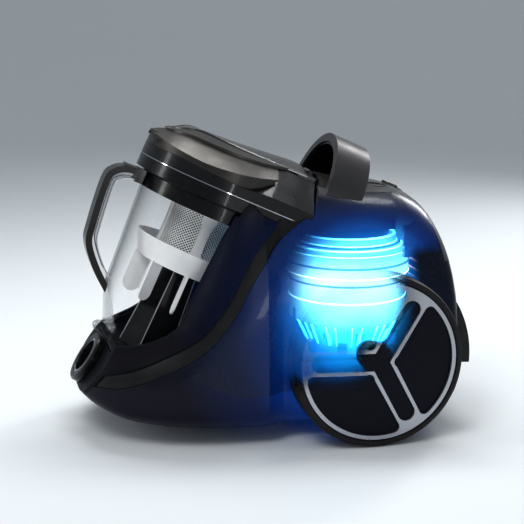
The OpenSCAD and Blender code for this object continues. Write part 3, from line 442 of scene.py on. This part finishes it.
def corner_data(mesh):
    """Corner positions, face normals and corner angles, one row per loop."""
    count = len(mesh.loops)
    places = np.empty(len(mesh.vertices) * 3)
    mesh.vertices.foreach_get("co", places)
    places = places.reshape(-1, 3)
    vertex = np.empty(count, int)
    mesh.loops.foreach_get("vertex_index", vertex)
    starts = np.empty(len(mesh.polygons), int)
    mesh.polygons.foreach_get("loop_start", starts)
    totals = np.empty(len(mesh.polygons), int)
    mesh.polygons.foreach_get("loop_total", totals)
    normals = np.empty(len(mesh.polygons) * 3)
    mesh.polygons.foreach_get("normal", normals)
    face = np.repeat(np.arange(len(totals)), totals)
    within = np.arange(count) - np.repeat(starts, totals)
    size = np.repeat(totals, totals)
    first = np.repeat(starts, totals)
    corner = places[vertex]
    ahead = places[vertex[first + (within + 1) % size]] - corner
    behind = places[vertex[first + (within - 1) % size]] - corner
    lengths = np.linalg.norm(ahead, axis=1) * np.linalg.norm(behind, axis=1)
    cosine = np.einsum("ij,ij->i", ahead, behind) / np.maximum(lengths, 1e-15)
    return corner, normals.reshape(-1, 3)[face], np.arccos(np.clip(cosine, -1, 1))


def smooth_by_angle(obj):
    """Smooth normals within SMOOTH_ANGLE, for a mesh whose corners may be split or uneven."""
    mesh = obj.data
    corner, normal, angle = corner_data(mesh)
    keys = np.round(corner * 2e5).astype(np.int64)
    _, group = np.unique(keys, axis=0, return_inverse=True)
    order = np.argsort(group.ravel(), kind="stable")
    group = group.ravel()[order]
    edges = np.flatnonzero(np.diff(group)) + 1
    limit = math.cos(SMOOTH_ANGLE)
    result = normal.copy()
    for members in np.split(order, edges):
        if len(members) < 2:
            continue
        n = normal[members]
        close = (n @ n.T) > limit
        mixed = (close * angle[members]) @ n
        length = np.linalg.norm(mixed, axis=1, keepdims=True)
        good = length[:, 0] > 1e-9
        rows = members[good]
        result[rows] = mixed[good] / length[good]
    mesh.polygons.foreach_set("use_smooth", np.ones(len(mesh.polygons), bool))
    mesh.normals_split_custom_set(result.tolist())


def dress_cad_nodes():
    """Each carried-over CAD node gets the material of its slot and smooth shading."""
    for part in frame["record"]["subparts"]:
        node = nodes[part["node"]]
        node.data.materials.clear()
        node.data.materials.append(material_of(part["material_slot"]))
        smooth_by_angle(node)


# ---------------------------------------------------------------- new pieces


def add_piece(name, verts, faces, body, slot, at=Matrix.Identity(4)):
    """One mesh piece from millimetre points in a local frame, set in place, dressed and riding on a body."""
    mesh = bpy.data.meshes.new(name)
    mesh.from_pydata([at @ (Vector(v) * MM) for v in verts], [], faces)
    mesh.update()
    piece = bpy.data.objects.new(name, mesh)
    bpy.context.scene.collection.objects.link(piece)
    smooth_by_angle(piece)
    piece.data.materials.append(material_of(slot))
    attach(piece, body)
    return piece


def sweep(points, radius, sides=10, closed=False):
    """Vertices and faces of a round bar along a path, with flat ends unless it is closed."""
    path = [Vector(p) for p in points]
    count = len(path)
    verts, faces = [], []
    side = None
    for i, p in enumerate(path):
        after = path[(i + 1) % count] if closed or i + 1 < count else p
        before = path[i - 1] if closed or i else p
        ahead = (after - before).normalized()
        if side is None:
            side = ahead.orthogonal().normalized()
        side = (side - ahead * side.dot(ahead)).normalized()
        up = ahead.cross(side)
        for k in range(sides):
            turn = math.tau * k / sides
            verts.append(p + (side * math.cos(turn) + up * math.sin(turn)) * radius)
    for i in range(count if closed else count - 1):
        j = (i + 1) % count
        for k in range(sides):
            m = (k + 1) % sides
            faces.append((i * sides + k, i * sides + m, j * sides + m, j * sides + k))
    if not closed:
        faces.append(tuple(range(sides - 1, -1, -1)))
        faces.append(tuple((count - 1) * sides + k for k in range(sides)))
    return verts, faces


def join(parts):
    """Several (vertices, faces) pairs as one."""
    verts, faces = [], []
    for more_verts, more_faces in parts:
        start = len(verts)
        verts += list(more_verts)
        faces += [tuple(start + i for i in face) for face in more_faces]
    return verts, faces


def ring(radius, height, bar):
    """A round hoop of a thin bar about the local z axis."""
    around = [math.tau * i / 96 for i in range(96)]
    return sweep([(radius * math.cos(a), radius * math.sin(a), height) for a in around], bar, 8, True)


def catmull(points, steps):
    """A smooth line through points, steps between each pair."""
    line = []
    for i in range(len(points) - 1):
        p = [Vector(points[min(max(k, 0), len(points) - 1)]) for k in (i - 1, i, i + 1, i + 2)]
        for k in range(steps):
            t = k / steps
            line.append(0.5 * (2 * p[1] + (p[2] - p[0]) * t + (2 * p[0] - 5 * p[1] + 4 * p[2] - p[3]) * t ** 2
                               + (3 * p[1] - p[0] - 3 * p[2] + p[3]) * t ** 3))
    line.append(Vector(points[-1]))
    return line


def tube_faces(count):
    """Faces of a closed shape between two outlines of count points each."""
    faces = [tuple(range(count - 1, -1, -1)), tuple(range(count, 2 * count))]
    faces += [(i, (i + 1) % count, count + (i + 1) % count, count + i) for i in range(count)]
    return faces


def screen_mesh():
    """Pierced screen of the separator: crossing wires on a drum."""
    radius, low, high, wire = 36.2, -87.5, -31.5, 0.58
    core_radius, core_low, core_high, core_sides = 33.4, -87, -32.2, 48
    columns, rise = 60, 1.7
    rows = round((high - low) / rise)
    step = math.tau / columns
    parts = []
    for lean in (-1, 1):
        for c in range(columns):
            turns = [step * (c + lean * r / 2) for r in range(rows + 1)]
            path = [(radius * math.cos(a), radius * math.sin(a), low + (high - low) * r / rows)
                    for r, a in enumerate(turns)]
            parts.append(sweep(path, wire, 4))
    piece = add_piece("screen_mesh", *join(parts), "separator", "white_plastic", BIN_FRAME)
    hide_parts("mesh_screen")
    around = [math.tau * k / core_sides for k in range(core_sides)]
    verts = [(core_radius * math.cos(a), core_radius * math.sin(a), z)
             for z in (core_low, core_high) for a in around]
    add_piece("screen_core", verts, tube_faces(core_sides), "separator", "black_gloss", BIN_FRAME)


def handle_highlight_bead():
    """Painted highlight: a bright bar along the inside edge of the clear strip of the front handle."""
    line = catmull([(-86, 0, -27.6), (-96, 0, -29.4), (-103, 0, -34), (-106.4, 0, -43), (-102.2, 0, -90),
                    (-98, 0, -106), (-82, 0, -126), (-70.5, 0, -135)], 8)
    parts = [sweep([(p.x, y, p.z) for p in line], 0.7, 8) for y in (-10.4, 10.4)]
    add_piece("handle_highlight_bead", *join(parts), "dust_bin", "bright_trim", BIN_FRAME)


def plate(outline, near, far):
    """Closed plate from an outline of (y, z) points, between two x values."""
    verts = [(near, y, z) for y, z in outline] + [(far, y, z) for y, z in outline]
    return verts, tube_faces(len(outline))


def block(low, high):
    """Closed box between two corners."""
    (x0, y0, z0), (x1, y1, z1) = low, high
    return plate([(y0, z0), (y1, z0), (y1, z1), (y0, z1)], x0, x1)


def turned(part, degrees):
    """A (vertices, faces) pair turned about the local z axis."""
    spin = Matrix.Rotation(math.radians(degrees), 3, "Z")
    return [spin @ Vector(v) for v in part[0]], part[1]


def screen_posts():
    """Waisted white strips over the four posts of the separator, between panes of the screen."""
    side = [(8.6, -87.4), (8.6, -83), (7.4, -78), (5.5, -73), (5.1, -60), (5.4, -47), (7.0, -42), (8.0, -38),
            (8.0, -31)]
    outline = side + [(-y, z) for y, z in reversed(side)]
    parts = [turned(plate(outline, 36.9, 38.9), 90 * k - 4) for k in range(4)]
    add_piece("screen_posts", *join(parts), "separator", "white_plastic", BIN_FRAME)


def riser_edge_highlights():
    """Painted highlights: bright bars along the corner lines of the faceted riser under the cage."""
    parts = []
    for k in range(6):
        a = math.radians(60 * k)
        parts.append(sweep([(33.1 * math.cos(a), 33.1 * math.sin(a), -193.5),
                            (24.3 * math.cos(a), 24.3 * math.sin(a), -99.5)], 0.5, 6))
    add_piece("riser_edge_highlights", *join(parts), "separator", "edge_clear", BIN_FRAME)


def bin_foot():
    """Moulded feet and a bead low inside the front of the clear bin."""
    parts = [ring(65.2, -190.5, 0.9), ring(60.5, -193.2, 0.6)]
    foot = -194.5
    for k in range(15):
        turn = 128 + 7.5 * k
        rise = (6.5, 3.2, 9.0, 4.4, 7.6)[k % 5]
        fin = [(-0.55, foot), (0.55, foot), (0.9 - 0.3 * (k % 3), foot + rise), (-0.4, foot + rise * 0.9)]
        parts.append(turned(plate(fin, 50.5 + 2.0 * (k % 3), 64.2), turn))
    add_piece("bin_foot", *join(parts), "dust_bin", "clear_core", BIN_FRAME)


def lid_spine_highlights():
    """Painted highlights: two thin bright bars along each side of the raised spine of the lid."""
    outer = [(-25, 30.4, 46.3), (-10, 34.4, 46.0), (10, 38.2, 45.8), (30, 41.4, 45.9), (55, 43.8, 46.4),
             (73, 45.1, 47.0)]
    inner = [(-25, 25, 47.1), (-10, 29, 46.9), (10, 32.8, 46.8), (30, 36, 47.0), (55, 38.4, 47.5),
             (73, 39.6, 48.2)]
    parts = []
    for side in (-1, 1):
        for line, bar in ((outer, 0.42), (inner, 0.3)):
            parts.append(sweep([(p.x, side * p.y, p.z) for p in catmull(line, 6)], bar, 6))
    add_piece("lid_spine_highlights", *join(parts), "lid", "bright_trim", BIN_FRAME)


def motor_rings():
    """Bands round the motor housing and the concentric rings of its inlet: near-white rings of painted
    highlight and darker bands of weaker painted glow.
    """
    at = Matrix.Translation(MOTOR_AXIS)
    crown = [ring(60, 188.8, 1.0), ring(54.2, 193, 0.7), ring(51.6, 200.3, 1.5), ring(36, 199.0, 1.3)]
    side = [ring(68.2, 159.5, 0.6), ring(68.2, 184.0, 0.6), ring(65.2, 132, 0.9)]
    # painted highlights: near-white glowing rings on the motor
    add_piece("motor_highlight_lines", *join(crown + side), "chassis", "motor_line", at)
    dark = [ring(44, 199.4, 2.4), ring(30.5, 200.2, 1.2), ring(57.5, 191.2, 1.4), ring(68.0, 171, 1.3),
            ring(65.0, 151, 1.2), ring(58.6, 108.5, 1.6)]
    add_piece("motor_bands", *join(dark), "chassis", "motor_band", at)


def motor_fins():
    """Upright vanes and small terminal blocks round the foot of the motor, both with a painted glow, the
    vanes as bright as painted highlights.
    """
    at = Matrix.Translation(MOTOR_AXIS)
    vane = [(50.9, 104), (57.8, 104), (46.6, 80), (39.5, 80)]
    verts = [(r, y, z) for y in (-0.7, 0.7) for r, z in vane]
    fins = [turned((verts, tube_faces(len(vane))), 15 * k + 4 * (k % 2)) for k in range(24)]
    add_piece("motor_fins", *join(fins), "chassis", "motor_line", at)
    pads = [turned(block((46, -5, 74), (56, 5, 84)), 45 * k + 22.5) for k in range(8)]
    add_piece("motor_pads", *join(pads), "chassis", "motor_band", at)


def inner_ribs():
    """Stiffening ribs and a ledge moulded inside the body, behind each smoked side shell, with a faint
    painted glow.
    """
    parts = []
    thick, front, rear, foot = 1.6, -64, 28, 95
    for y0, y1 in ((-90, -84), (84, 90)):
        parts.append(block((front, y0, foot), (rear, y1, foot + thick)))
        for x in range(-58, 15, 18):
            parts.append(block((x, y0, foot + thick), (x + thick, y1, 112 + 0.35 * (x - front))))
    add_piece("inner_ribs", *join(parts), "chassis", "ghost_rib")


# ---------------------------------------------------------------- build

bpy.context.scene.view_settings.view_transform = "Standard"
bpy.context.scene.view_settings.look = "Medium High Contrast"
add_camera()
add_studio()
dress_cad_nodes()
screen_mesh()
handle_highlight_bead()
screen_posts()
riser_edge_highlights()
bin_foot()
lid_spine_highlights()
motor_rings()
motor_fins()
inner_ribs()
